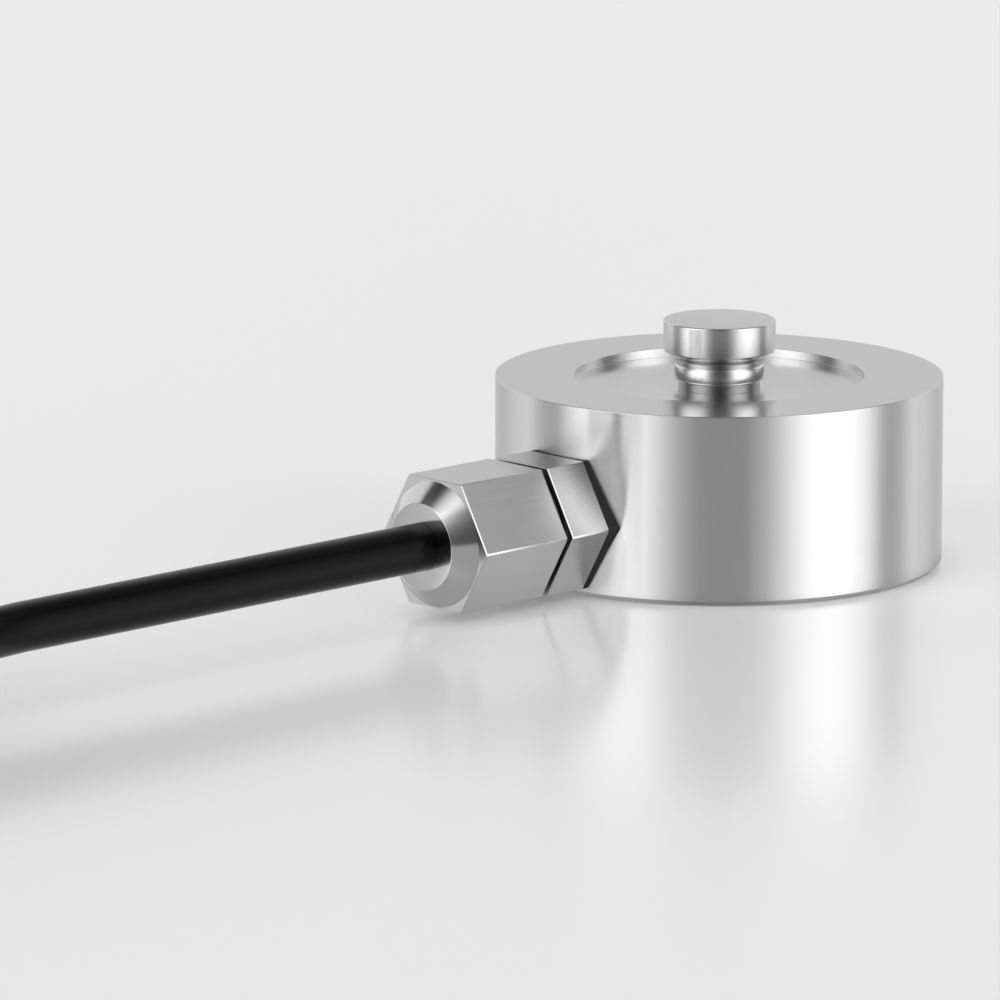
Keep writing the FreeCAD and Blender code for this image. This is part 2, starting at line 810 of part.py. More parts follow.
def check_and_write():
    """Stop on a failed object or a bad shape, and write one file for each sub-part."""
    doc.recompute()
    failed = [o.Name for o in doc.Objects if "Invalid" in o.State or "Error" in o.State]
    bad = [n.Label for n in nodes if n.Shape.isNull() or not n.Shape.isValid() or not n.Shape.Solids]
    if failed or bad:
        raise RuntimeError(f"failed objects {failed}, bad shapes {bad}")
    os.makedirs("parts", exist_ok=True)
    for node in nodes:
        node.Shape.exportStep(f"parts/{node.Label}.step")
    print(len(nodes), "sub-parts written")


make_sensing_body()
make_base_cover()
make_terminal_board()
inner_gauge = boss_radius + dim.gauge_to_boss + dim.gauge_length / 2
outer_gauge = gauge_wall - dim.gauge_to_wall - dim.gauge_length / 2
make_gauge("a", inner_gauge, 45)
make_gauge("b", outer_gauge, 135)
make_gauge("c", inner_gauge, 225)
make_gauge("d", outer_gauge, 315)
make_resistor("zero_resistor", 0)
make_resistor("span_resistor_a", 70)
make_resistor("span_resistor_b", -70)
make_gasket()
make_gland_body()
make_nut_o_ring()
make_gland_seal()
make_gland_washer()
make_gland_nut()
make_cable_entry()
make_cores()
make_cable_run()
make_cable_coil()
make_coil_tie("a", 25)
make_coil_tie("b", 150)
make_tail()
check_and_write()
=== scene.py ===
import bpy
import bmesh
import math
from mathutils import Matrix, Vector


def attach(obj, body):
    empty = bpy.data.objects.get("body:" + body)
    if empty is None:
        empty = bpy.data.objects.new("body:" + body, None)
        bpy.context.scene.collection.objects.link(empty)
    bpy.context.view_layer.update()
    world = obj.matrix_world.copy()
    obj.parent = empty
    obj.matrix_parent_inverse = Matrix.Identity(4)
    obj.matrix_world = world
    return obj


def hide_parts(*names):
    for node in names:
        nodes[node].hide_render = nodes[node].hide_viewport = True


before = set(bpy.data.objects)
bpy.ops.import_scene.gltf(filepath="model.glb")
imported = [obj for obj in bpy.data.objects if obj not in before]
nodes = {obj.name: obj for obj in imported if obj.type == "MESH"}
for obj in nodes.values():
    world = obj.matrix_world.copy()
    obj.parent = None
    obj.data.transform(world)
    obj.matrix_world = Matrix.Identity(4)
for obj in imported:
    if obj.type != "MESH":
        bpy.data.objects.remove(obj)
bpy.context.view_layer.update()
mm = 0.001
tiny = 1e-6  # a length below this counts as none
print("frame loaded,", len(nodes), "nodes")

meshing = {"sharpFrom": 35, "mostCut": 0.45}  # degrees, and the share of a side that a soft corner may take


def newPiece(name, mesh):
    piece = bpy.data.objects.new(name, mesh)
    bpy.context.scene.collection.objects.link(piece)
    return piece


def bakeModifiers(piece):  # live modifiers become a plain mesh
    graph = bpy.context.evaluated_depsgraph_get()
    baked = bpy.data.meshes.new_from_object(piece.evaluated_get(graph), depsgraph=graph)
    old = piece.data
    piece.modifiers.clear()
    piece.data = baked
    bpy.data.meshes.remove(old)
    baked.name = piece.name


def weightNormals(piece):  # large faces keep their own normal, the small edge faces take the bend
    piece.data.shade_smooth()
    piece.data.set_sharp_from_angle(angle=math.radians(meshing["sharpFrom"]))
    weigh = piece.modifiers.new("weigh", "WEIGHTED_NORMAL")
    weigh.keep_sharp = True
    bakeModifiers(piece)


def softProfile(corners, steps):
    # corners are (radius, height) or (radius, height, softening) in mm
    # a softened corner becomes a short curve
    points = []
    for i, corner in enumerate(corners):
        here = Vector(corner[:2])
        soft = corner[2] if len(corner) > 2 else 0
        if not soft:
            points.append(here)
            continue
        back = Vector(corners[i - 1][:2]) - here
        on = Vector(corners[(i + 1) % len(corners)][:2]) - here
        cut = min(soft, meshing["mostCut"] * back.length, meshing["mostCut"] * on.length)
        start, end = here + back.normalized() * cut, here + on.normalized() * cut
        for step in range(steps + 1):
            t = step / steps
            points.append(start * (1 - t) ** 2 + here * 2 * t * (1 - t) + end * t * t)
    return points


def latheMesh(name, profile, count, place=Matrix()):
    # a closed outline of (radius, height) in mm, turned round Z; a point on the axis becomes a pole
    work = bmesh.new()
    rings = []
    for point in profile:
        turns = 1 if point.x < tiny else count
        rings.append([
            work.verts.new((
                point.x * math.cos(2 * math.pi * k / count) * mm,
                point.x * math.sin(2 * math.pi * k / count) * mm,
                point.y * mm,
            ))
            for k in range(turns)
        ])
    for a, b in zip(rings, rings[1:] + rings[:1]):
        for k in range(count):
            corners = [a[k % len(a)], a[(k + 1) % len(a)], b[(k + 1) % len(b)], b[k % len(b)]]
            corners = list(dict.fromkeys(corners))
            if len(corners) > 2:
                work.faces.new(corners)
    bmesh.ops.recalc_face_normals(work, faces=work.faces)
    work.transform(place)
    mesh = bpy.data.meshes.new(name)
    work.to_mesh(mesh)
    work.free()
    return mesh


def dress(piece, *materials):
    piece.data.materials.clear()
    for material in materials:
        piece.data.materials.append(material)


def splitFaces(piece, pick):  # the pick gives each face the number of its material
    for face in piece.data.polygons:
        face.material_index = pick(face)


print("helpers ready")


def addNode(tree, kind, values=None, **settings):
    node = tree.nodes.new(kind)
    for key, value in settings.items():
        setattr(node, key, value)
    for key, value in (values or {}).items():
        if isinstance(value, bpy.types.NodeSocket):
            tree.links.new(value, node.inputs[key])
        else:
            node.inputs[key].default_value = value
    return node


def mathNode(tree, operation, first, second=0.0, third=0.0):
    node = addNode(tree, "ShaderNodeMath", {0: first, 1: second, 2: third}, operation=operation)
    return node.outputs[0]


def noiseAt(tree, place, look):
    return addNode(tree, "ShaderNodeTexNoise", {"Vector": place, **look}).outputs["Fac"]


noiseSpan = {"From Min": 0.3, "From Max": 0.7}  # nearly all of a noise lies between these


def spreadNoise(tree, noise, low, high):
    values = {"Value": noise, **noiseSpan, "To Min": low, "To Max": high}
    return addNode(tree, "ShaderNodeMapRange", values).outputs["Result"]


def newGroup(name, inputs, outputs):
    group = bpy.data.node_groups.new(name, "ShaderNodeTree")
    for label, kind, value in inputs:
        socket = group.interface.new_socket(label, in_out="INPUT", socket_type=kind)
        if value is not None:
            socket.default_value = value
    for label in outputs:
        group.interface.new_socket(label, in_out="OUTPUT", socket_type="NodeSocketFloat")
    return group, group.nodes.new("NodeGroupInput"), group.nodes.new("NodeGroupOutput")


toolMarks = {
    "pitch": 0.00012, "drift": 0.6,  # metres from mark to mark, and how fast a mark changes round the part
    "fine": {"Scale": 1.0, "Detail": 2.0, "Roughness": 0.6},
    "broad": {"Scale": 0.09, "Detail": 1.0, "Roughness": 0.5},
}


def makeToolLines():
    # fine marks that run round the Z axis of the coordinates, as a lathe tool leaves them
    group, given, result = newGroup("toolLines", [
        ("Vector", "NodeSocketVector", None), ("Pitch", "NodeSocketFloat", toolMarks["pitch"]),
    ], ["Lines", "Bands"])
    x, y, z = addNode(group, "ShaderNodeSeparateXYZ", {0: given.outputs["Vector"]}).outputs
    squares = [mathNode(group, "POWER", value, 2.0) for value in (x, y)]
    across = mathNode(group, "SQRT", mathNode(group, "ADD", *squares))
    around = mathNode(group, "ABSOLUTE", mathNode(group, "ARCTAN2", y, x))
    place = addNode(group, "ShaderNodeCombineXYZ", {
        0: mathNode(group, "DIVIDE", across, given.outputs["Pitch"]),
        1: mathNode(group, "DIVIDE", z, given.outputs["Pitch"]),
        2: mathNode(group, "MULTIPLY", around, toolMarks["drift"]),
    }).outputs[0]
    group.links.new(noiseAt(group, place, toolMarks["fine"]), result.inputs["Lines"])
    group.links.new(noiseAt(group, place, toolMarks["broad"]), result.inputs["Bands"])
    return group


drawnMarks = {"width": 0.00015, "length": 0.006, "look": {"Scale": 1.0, "Detail": 3.0, "Roughness": 0.55}}


def makeDrawnLines():
    # long faint scratches along X, as on bar that was drawn through a die
    group, given, result = newGroup("drawnLines", [
        ("Vector", "NodeSocketVector", None), ("Width", "NodeSocketFloat", drawnMarks["width"]),
        ("Length", "NodeSocketFloat", drawnMarks["length"]),
    ], ["Lines"])
    x, y, z = addNode(group, "ShaderNodeSeparateXYZ", {0: given.outputs["Vector"]}).outputs
    place = addNode(group, "ShaderNodeCombineXYZ", {
        0: mathNode(group, "DIVIDE", x, given.outputs["Length"]),
        1: mathNode(group, "DIVIDE", y, given.outputs["Width"]),
        2: mathNode(group, "DIVIDE", z, given.outputs["Width"]),
    }).outputs[0]
    group.links.new(noiseAt(group, place, drawnMarks["look"]), result.inputs["Lines"])
    return group


handMarks = {
    "size": 0.009, "soft": {"Scale": 1.0, "Detail": 3.0, "Roughness": 0.5, "Distortion": 0.4},
    "speck": {"Scale": 38.0, "Detail": 2.0, "Roughness": 0.6},
}


def makeHandling():
    # soft blotches where a surface was wiped or touched, and a fine grain
    group, given, result = newGroup("handling", [
        ("Vector", "NodeSocketVector", None), ("Size", "NodeSocketFloat", handMarks["size"]),
    ], ["Smudge", "Speck"])
    scale = mathNode(group, "DIVIDE", 1.0, given.outputs["Size"])
    place = addNode(group, "ShaderNodeVectorMath", {
        0: given.outputs["Vector"], "Scale": scale}, operation="SCALE").outputs[0]
    soft = noiseAt(group, place, handMarks["soft"])
    group.links.new(spreadNoise(group, soft, 0.0, 1.0), result.inputs["Smudge"])
    group.links.new(noiseAt(group, place, handMarks["speck"]), result.inputs["Speck"])
    return group


toolLines = makeToolLines()
drawnLines = makeDrawnLines()
handling = makeHandling()


def newMaterial(name):
    material = bpy.data.materials.new(name)
    material.use_nodes = True
    tree = material.node_tree
    tree.nodes.clear()
    shader = tree.nodes.new("ShaderNodeBsdfPrincipled")
    tree.links.new(shader.outputs[0], tree.nodes.new("ShaderNodeOutputMaterial").inputs["Surface"])
    place = tree.nodes.new("ShaderNodeTexCoord").outputs["Object"]
    return material, tree, shader, place


def useGroup(tree, group, values):
    return addNode(tree, "ShaderNodeGroup", values, node_tree=group).outputs


def shadeBetween(tree, mask, dark, light):  # a mix node's colour sockets go by number
    node = addNode(tree, "ShaderNodeMix", {0: mask, 6: (*dark, 1), 7: (*light, 1)}, data_type="RGBA")
    return node.outputs[2]


def bumpFrom(tree, height, strength, distance):
    values = {"Height": height, "Strength": strength, "Distance": distance}
    return addNode(tree, "ShaderNodeBump", values).outputs[0]


bumpDepth = {"marks": 0.00002, "grain": 0.00003}  # metres


def turnedMetal(name, settings, axisPlace=None):
    material, tree, shader, place = newMaterial(name)
    if axisPlace:
        place = addNode(tree, "ShaderNodeMapping", {"Vector": place, **axisPlace}).outputs[0]
    marks = useGroup(tree, toolLines, {"Vector": place, "Pitch": settings["pitch"]})
    touch = useGroup(tree, handling, {"Vector": place, "Size": settings["smudgeSize"]})
    halfSmudge = mathNode(tree, "MULTIPLY", touch["Smudge"], 0.5)
    tone = mathNode(tree, "MULTIPLY_ADD", marks["Bands"], 0.5, halfSmudge)  # the mean of bands and smudge
    rough = spreadNoise(tree, marks["Lines"], settings["roughLow"], settings["roughHigh"])
    smear = mathNode(tree, "MULTIPLY", touch["Smudge"], settings["smudgeRough"])
    rough = mathNode(tree, "ADD", rough, smear)
    shade = shadeBetween(tree, tone, settings["dark"], settings["light"])
    bump = bumpFrom(tree, marks["Lines"], settings["bump"], bumpDepth["marks"])
    tree.links.new(shade, shader.inputs["Base Color"])
    tree.links.new(rough, shader.inputs["Roughness"])
    tree.links.new(bump, shader.inputs["Normal"])
    shader.inputs["Metallic"].default_value = 1.0
    if "pull" in settings:  # the fine turning marks spread a highlight up and down, not round the part
        shader.inputs["Anisotropic"].default_value = settings["pull"]
        shader.inputs["Anisotropic Rotation"].default_value = settings["pullTurn"]
        around = addNode(tree, "ShaderNodeTangent", direction_type="RADIAL", axis="Z")
        tree.links.new(around.outputs[0], shader.inputs["Tangent"])
    return material


bodyFinish = {
    "dark": (0.644, 0.644, 0.642), "light": (0.664, 0.664, 0.662), "pitch": 0.00009, "smudgeSize": 0.011,
    "roughLow": 0.14, "roughHigh": 0.165, "smudgeRough": 0.012, "bump": 0.004,
}
facedSteel = turnedMetal("facedSteel", bodyFinish)

turnedFinish = dict(bodyFinish, roughLow=0.195, roughHigh=0.215, bump=0.001, pull=1.0, pullTurn=0.25)
turnedSteel = turnedMetal("turnedSteel", turnedFinish)

# painted shade: this darker steel on the button's foot and neck stands in for the shade in the recess and
# under the head
paintedShadeFinish = dict(
    bodyFinish, dark=(0.34, 0.34, 0.338), light=(0.37, 0.37, 0.368), roughLow=0.22, roughHigh=0.26)
paintedShadeSteel = turnedMetal("paintedShadeSteel", paintedShadeFinish)

coneFinish = dict(bodyFinish, roughLow=0.11, roughHigh=0.14, pitch=0.00006)
glandAxis = {"Location": (-0.00574, 0, 0), "Rotation": (0, math.radians(90), 0)}  # it runs along X
coneSteel = turnedMetal("coneSteel", coneFinish, glandAxis)

coverFinish = dict(bodyFinish, roughLow=0.22, roughHigh=0.34, pitch=0.0002, bump=0.12)
coverSteel = turnedMetal("coverSteel", coverFinish)

tinnedFinish = dict(
    bodyFinish, dark=(0.52, 0.51, 0.49), light=(0.62, 0.61, 0.59), roughLow=0.22, roughHigh=0.35)
tinnedWire = turnedMetal("tinnedWire", tinnedFinish)

barFinish = {
    "dark": (0.644, 0.644, 0.642), "light": (0.668, 0.668, 0.666), "width": 0.00012, "length": 0.005,
    "smudgeSize": 0.006, "roughLow": 0.23, "roughHigh": 0.27, "bump": 0.002,
}


def makeBarSteel():
    s = barFinish
    material, tree, shader, place = newMaterial("barSteel")
    lines = useGroup(tree, drawnLines, {"Vector": place, "Width": s["width"], "Length": s["length"]})
    touch = useGroup(tree, handling, {"Vector": place, "Size": s["smudgeSize"]})
    shade = shadeBetween(tree, touch["Smudge"], s["dark"], s["light"])
    rough = spreadNoise(tree, lines["Lines"], s["roughLow"], s["roughHigh"])
    bump = bumpFrom(tree, lines["Lines"], s["bump"], bumpDepth["marks"])
    tree.links.new(shade, shader.inputs["Base Color"])
    tree.links.new(rough, shader.inputs["Roughness"])
    tree.links.new(bump, shader.inputs["Normal"])
    shader.inputs["Metallic"].default_value = 1.0
    return material


barSteel = makeBarSteel()


def dullPlastic(name, settings):
    # rubber, jacket and insulation: a base tone with soft blotches and a fine grain
    material, tree, shader, place = newMaterial(name)
    size = settings["grain"] * handMarks["speck"]["Scale"]
    touch = useGroup(tree, handling, {"Vector": place, "Size": size})
    shade = shadeBetween(tree, touch["Smudge"], settings["dark"], settings["light"])
    rough = spreadNoise(tree, touch["Speck"], settings["roughLow"], settings["roughHigh"])
    bump = bumpFrom(tree, touch["Speck"], settings["bump"], bumpDepth["grain"])
    tree.links.new(shade, shader.inputs["Base Color"])
    tree.links.new(rough, shader.inputs["Roughness"])
    tree.links.new(bump, shader.inputs["Normal"])
    shader.inputs["IOR"].default_value = settings["ior"]
    return material


jacketFinish = {
    "dark": (0.0012, 0.0012, 0.0012), "light": (0.0017, 0.0017, 0.0017), "grain": 0.00022,
    "roughLow": 0.20, "roughHigh": 0.25, "bump": 0.004, "ior": 1.27,
}
jacket = dullPlastic("jacket", jacketFinish)

rubberFinish = {
    "dark": (0.004, 0.004, 0.004), "light": (0.008, 0.008, 0.008), "grain": 0.00012,
    "roughLow": 0.50, "roughHigh": 0.65, "bump": 0.2, "ior": 1.5,
}
blackRubber = dullPlastic("blackRubber", rubberFinish)

sleeveFinish = {
    "dark": (0.008, 0.008, 0.008), "light": (0.012, 0.012, 0.012), "grain": 0.0003,
    "roughLow": 0.35, "roughHigh": 0.5, "bump": 0.25, "ior": 1.5,
}
sleeveSkin = dullPlastic("sleeveSkin", sleeveFinish)

tieFinish = {
    "dark": (0.006, 0.006, 0.006), "light": (0.014, 0.014, 0.014), "grain": 0.00035,
    "roughLow": 0.75, "roughHigh": 0.9, "bump": 0.9, "ior": 1.5,
}
tieTape = dullPlastic("tieTape", tieFinish)

boardFinish = {
    "dark": (0.012, 0.10, 0.04), "light": (0.018, 0.13, 0.055), "grain": 0.0002,
    "roughLow": 0.3, "roughHigh": 0.45, "bump": 0.1, "ior": 1.5,
}
boardMask = dullPlastic("boardMask", boardFinish)

filmFinish = {
    "dark": (0.42, 0.20, 0.03), "light": (0.52, 0.27, 0.05), "grain": 0.0002,
    "roughLow": 0.25, "roughHigh": 0.4, "bump": 0.1, "ior": 1.5,
}
gaugeFilm = dullPlastic("gaugeFilm", filmFinish)

chipFinish = {
    "dark": (0.012, 0.012, 0.012), "light": (0.02, 0.02, 0.02), "grain": 0.0001,
    "roughLow": 0.4, "roughHigh": 0.5, "bump": 0.1, "ior": 1.5,
}
chipBlack = dullPlastic("chipBlack", chipFinish)

insulationFinish = {"grain": 0.0002, "roughLow": 0.28, "roughHigh": 0.4, "bump": 0.1, "ior": 1.5}
blotchShare = 0.88  # a blotch on a wire is this much of its tone
wireColours = {
    "red": (0.42, 0.012, 0.012), "black": (0.008, 0.008, 0.008), "green": (0.012, 0.16, 0.035),
    "white": (0.72, 0.72, 0.70),
}
insulation = {
    colour: dullPlastic(colour + "Insulation", dict(
        insulationFinish, dark=tuple(blotchShare * c for c in tone), light=tone))
    for colour, tone in wireColours.items()
}
print("materials ready")


# the turned body and its load button, in mm
bodySize = {
    "radius": 17.5, "height": 14.8, "baseChamfer": 0.4, "chamferEdge": 0.06, "rimEdge": 0.08,
    "recess": 11.32, "recessFloor": 13.76, "recessEdge": 14.12, "recessRim": 0.05, "recessFillet": 0.03,
    "seat": 14.6, "seatHeight": 1.4, "seatEdge": 0.05, "cavity": 13.4, "ledge": 10.34,
    "gaugeWall": 12.2, "ceiling": 12.44, "boss": 3.4, "bossLow": 10.54, "segments": 256, "steps": 5,
}
buttonSize = {
    "foot": 3.2, "footFillet": 0.04, "footTop": 14.45,
    "bead": [(3.61, 14.45, 0.2), (3.468, 15.56, 0.07), (3.38, 15.68)],
    "neck": 3.305, "neckTop": 16.10, "neckFillet": 0.05,
    "head": 4.38, "headLow": 16.77, "headLowEdge": 0.08, "top": 19.15, "topEdge": 0.15,
}
# the darkened place holds the painted shade on the button's foot and neck
bodyFaces = {"side": 0, "flat": 1, "darkened": 2}  # places in the body's list of materials
facePick = {"headSlack": 0.01, "footSlack": 0.15, "neckSlack": 0.08, "flatFrom": 0.8}


def bodyFace(face):  # the fine forms under the button's head are faced, and its foot and neck get a darker steel that is painted shade for the recess and the hollow under the head
    b, slack = buttonSize, facePick
    away = math.hypot(face.center.x, face.center.y) / mm
    level = face.center.z / mm
    if away < b["head"] - slack["headSlack"] and level < b["headLow"]:
        nearFoot = abs(away - b["foot"]) < slack["footSlack"]
        onFoot = nearFoot and bodySize["recessFloor"] < level < b["footTop"]
        onNeck = away < b["neck"] + slack["neckSlack"] and b["bead"][-1][1] < level < b["neckTop"]
        return bodyFaces["darkened" if onFoot or onNeck else "flat"]
    return bodyFaces["flat" if abs(face.normal.z) > slack["flatFrom"] else "side"]


def makeCellBody():
    s, b = bodySize, buttonSize
    corners = [
        (s["seat"], 0.0, s["seatEdge"]), (s["radius"] - s["baseChamfer"], 0.0, s["chamferEdge"]),
        (s["radius"], s["baseChamfer"], s["chamferEdge"]), (s["radius"], s["height"], s["rimEdge"]),
        (s["recess"], s["height"], s["recessRim"]), (s["recess"], s["recessEdge"], s["recessFillet"]),
        (b["foot"], s["recessFloor"], b["footFillet"]), (b["foot"], b["footTop"]), *b["bead"],
        (b["neck"], b["neckTop"], b["neckFillet"]), (b["head"], b["headLow"], b["headLowEdge"]),
        (b["head"], b["top"], b["topEdge"]), (0.0, b["top"]),
        (0.0, s["bossLow"]), (s["boss"], s["bossLow"]), (s["boss"], s["ceiling"]),
        (s["gaugeWall"], s["ceiling"]), (s["gaugeWall"], s["ledge"]), (s["cavity"], s["ledge"]),
        (s["cavity"], s["seatHeight"]), (s["seat"], s["seatHeight"]),
    ]
    piece = newPiece("cellBody", latheMesh("cellBody", softProfile(corners, s["steps"]), s["segments"]))
    weightNormals(piece)
    dress(piece, turnedSteel, facedSteel, paintedShadeSteel)
    splitFaces(piece, bodyFace)
    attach(piece, "root")
    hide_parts("sensing_body")


makeCellBody()
print("body turned")


# the gland's hexagons, in mm along -X from the body's axis
glandSize = {
    "height": 5.74, "flats": 10.0, "endBreak": 0.14, "endInset": 0.065,
    "longEdge": 0.12, "edgeSegments": 4, "upperShare": 0.3, "upperFrom": 1.0,
    "fittingFrom": 17.62, "fittingTo": 21.55, "nutFrom": 22.09, "nutTo": 30.64,
    "coneBase": 4.86, "coneInside": 2.0, "coneProud": 0.02,
    "tip": 32.07, "tipRadius": 3.35, "tipEdge": 0.03, "hole": 1.855, "segments": 160, "steps": 4,
}


def hexBlock(name, start, end):
    # a hexagon bar: its ends are broken by a steep chamfer, its long corners rounded, the upper ones less
    s = glandSize
    corner = s["flats"] / math.sqrt(3)
    broken = corner - s["endInset"] * 2 / math.sqrt(3)
    sections = [
        (start, broken), (start + s["endBreak"], corner), (end - s["endBreak"], corner), (end, broken)]
    work = bmesh.new()
    rings = []
    for along, reach in sections:
        rings.append([
            work.verts.new((
                -along * mm, reach * math.cos(math.radians(60 * k)) * mm,
                (s["height"] + reach * math.sin(math.radians(60 * k))) * mm,
            ))
            for k in range(6)
        ])
    for a, b in zip(rings, rings[1:]):
        for k in range(6):
            work.faces.new([a[k], a[(k + 1) % 6], b[(k + 1) % 6], b[k]])
    work.faces.new(rings[0])
    work.faces.new(rings[-1])
    bmesh.ops.recalc_face_normals(work, faces=work.faces)
    weight = work.edges.layers.float.new("bevel_weight_edge")
    for side in work.edges:
        first, second = (vert.co for vert in side.verts)
        if abs(first.x - second.x) > tiny:
            upper = first.z > (s["height"] + s["upperFrom"]) * mm
            side[weight] = s["upperShare"] if upper else 1.0
    mesh = bpy.data.meshes.new(name)
    work.to_mesh(mesh)
    work.free()
    piece = newPiece(name, mesh)
    edge = piece.modifiers.new("edge", "BEVEL")
    edge.limit_method = "WEIGHT"
    edge.width = s["longEdge"] * mm
    edge.segments = s["edgeSegments"]
    bakeModifiers(piece)
    weightNormals(piece)
    return piece


def makeGland():
    s = glandSize
    fitting = hexBlock("glandFitting", s["fittingFrom"], s["fittingTo"])
    nut = hexBlock("glandNutBar", s["nutFrom"], s["nutTo"])
    toSide = Matrix.Translation((0, 0, s["height"] * mm)) @ Matrix.Rotation(math.radians(-90), 4, "Y")
    inside = s["nutTo"] - s["coneInside"]
    coneCorners = [
        (s["hole"], inside), (s["coneBase"], inside), (s["coneBase"], s["nutTo"] + s["coneProud"]),
        (s["tipRadius"], s["tip"], s["tipEdge"]), (s["hole"], s["tip"]),
    ]
    coneProfile = softProfile(coneCorners, s["steps"])
    cone = newPiece("glandCone", latheMesh("glandCone", coneProfile, s["segments"], toSide))
    weightNormals(cone)
    for piece, metal in ((fitting, barSteel), (nut, barSteel), (cone, coneSteel)):
        dress(piece, metal)
        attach(piece, "root")
    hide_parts("gland_body")
    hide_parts("gland_nut")
    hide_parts("gland_nut")


makeGland()
print("gland made")


# the cable, in mm: its free run, then the coil that is put away to the left of the view
cableSize = {
    "diameter": 3.7, "length": 1.975,  # the length is in metres
    "exit": (-32.07, 0.0, 5.74), "run": [(-64.9, 0.0, 5.74), (-79.0, 0.0, 5.74), (-91.2, -6.4, 2.6)],
    "coilCentre": (-114.0, 11.2), "coilStart": -60.0, "innerTurn": 14.8, "turnPitch": 3.95,
    "firstSlot": 3.0, "firstLayer": 2.35, "layerPitch": 3.8, "turns": 14.75,
    "pointsPerTurn": 24, "lineShare": 0.9914,  # the line runs this far out to its control points
    "order": 3, "stepsPerPoint": 5, "roundness": 8,
}
# one for each turn: a step across its layer or a climb to the next one, and where in the turn it starts
coilSteps = [
    ("in", 0.88), ("in", 0.88), ("in", 0.88), ("climb", 0.76),
    ("out", 0.64), ("out", 0.64), ("out", 0.64), ("climb", 0.52),
    ("in", 0.40), ("in", 0.40), ("in", 0.40), ("climb", 0.28),
    ("out", 0.16), ("out", 0.16), ("out", 0.16),
]
stepSpan = 0.12  # of a turn


def coilSlot(turn):  # slot across and layer up, at this many turns along the coil
    slot, layer = cableSize["firstSlot"], 0.0
    for index, (kind, start) in enumerate(coilSteps):
        share = min(max((turn - index - start) / stepSpan, 0.0), 1.0)
        share = share * share * (3 - 2 * share)
        if kind == "climb":
            layer += share
        else:
            slot += share if kind == "out" else -share
    return slot, layer


def coilPoint(turn):
    s = cableSize
    slot, layer = coilSlot(turn)
    radius = (s["innerTurn"] + s["turnPitch"] * slot) / s["lineShare"]
    angle = math.radians(s["coilStart"] - 360 * turn)
    return (
        s["coilCentre"][0] + radius * math.cos(angle), s["coilCentre"][1] + radius * math.sin(angle),
        s["firstLayer"] + s["layerPitch"] * layer,
    )


def makeCable():
    s = cableSize
    count = round(s["turns"] * s["pointsPerTurn"])
    points = [s["exit"]] + s["run"] + [coilPoint(k / s["pointsPerTurn"]) for k in range(count + 1)]
    curve = bpy.data.curves.new("cable", "CURVE")
    curve.dimensions = "3D"
    spline = curve.splines.new("NURBS")
    spline.points.add(len(points) - 1)
    for target, point in zip(spline.points, points):
        target.co = (*(c * mm for c in point), 1.0)
    spline.order_u = s["order"]
    spline.use_endpoint_u = True
    spline.resolution_u = s["stepsPerPoint"]
    curve.bevel_depth = s["diameter"] / 2 * mm
    curve.bevel_resolution = s["roundness"]
    curve.use_fill_caps = True
    piece = newPiece("cable", curve)
    curve.materials.append(jacket)
    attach(piece, "root")
    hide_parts("cable_run", "cable_coil")
    return piece


cable = makeCable()
print("cable laid")

# bare ends of the four cores, in mm: strands laid in a twist round a straight one
strandSize = {
    "starts": [
        (-90.679, -4.530, 12.25), (-91.442, -4.016, 12.25),
        (-92.205, -3.501, 12.25), (-92.967, -2.987, 12.25)],
    "heading": (-0.391, -0.921, 0.0), "length": 5.0, "strand": 0.075, "around": 6, "turns": 1.7,
    "stepsPerTurn": 22, "sides": 10,
}
strandInputs = {
    "Ends": "Geometry", "Heading": "Vector", "Length": "Float", "Strand Radius": "Float", "Around": "Int",
    "Turns": "Float", "Steps": "Int", "Sides": "Int", "Material": "Material",
}


def makeStrandGroup():
    group = bpy.data.node_groups.new("twistedStrands", "GeometryNodeTree")
    for label, kind in strandInputs.items():
        group.interface.new_socket(label, in_out="INPUT", socket_type="NodeSocket" + kind)
    group.interface.new_socket("Wires", in_out="OUTPUT", socket_type="NodeSocketGeometry")
    given = group.nodes.new("NodeGroupInput").outputs
    lay = mathNode(group, "MULTIPLY", given["Strand Radius"], 2.0)  # the outer strands touch the middle one
    twist = addNode(group, "GeometryNodeCurveSpiral", {
        "Resolution": given["Steps"], "Rotations": given["Turns"], "Height": given["Length"],
        "Start Radius": lay, "End Radius": lay})
    places = addNode(group, "GeometryNodePoints", {"Count": given["Around"]})
    share = mathNode(group, "DIVIDE", addNode(group, "GeometryNodeInputIndex").outputs[0], given["Around"])
    turn = addNode(group, "ShaderNodeCombineXYZ", {2: mathNode(group, "MULTIPLY", share, 2 * math.pi)})
    outer = addNode(group, "GeometryNodeInstanceOnPoints", {
        "Points": places.outputs[0], "Instance": twist.outputs[0], "Rotation": turn.outputs[0]})
    top = addNode(group, "ShaderNodeCombineXYZ", {2: given["Length"]})
    core = addNode(group, "GeometryNodeCurvePrimitiveLine", {"End": top.outputs[0]})
    lines = addNode(group, "GeometryNodeJoinGeometry", {0: outer.outputs[0]})
    group.links.new(core.outputs[0], lines.inputs[0])
    lines = addNode(group, "GeometryNodeRealizeInstances", {0: lines.outputs[0]})
    section = addNode(group, "GeometryNodeCurvePrimitiveCircle", {
        "Resolution": given["Sides"], "Radius": given["Strand Radius"]})
    bundle = addNode(group, "GeometryNodeCurveToMesh", {
        "Curve": lines.outputs[0], "Profile Curve": section.outputs[0], "Fill Caps": True})
    aim = addNode(group, "FunctionNodeAlignRotationToVector", {"Vector": given["Heading"]}, axis="Z")
    ends = addNode(group, "GeometryNodeInstanceOnPoints", {
        "Points": given["Ends"], "Instance": bundle.outputs[0], "Rotation": aim.outputs[0]})
    ends = addNode(group, "GeometryNodeRealizeInstances", {0: ends.outputs[0]})
    ends = addNode(group, "GeometryNodeSetMaterial", {
        "Geometry": ends.outputs[0], "Material": given["Material"]})
    group.links.new(ends.outputs[0], group.nodes.new("NodeGroupOutput").inputs["Wires"])
    return group


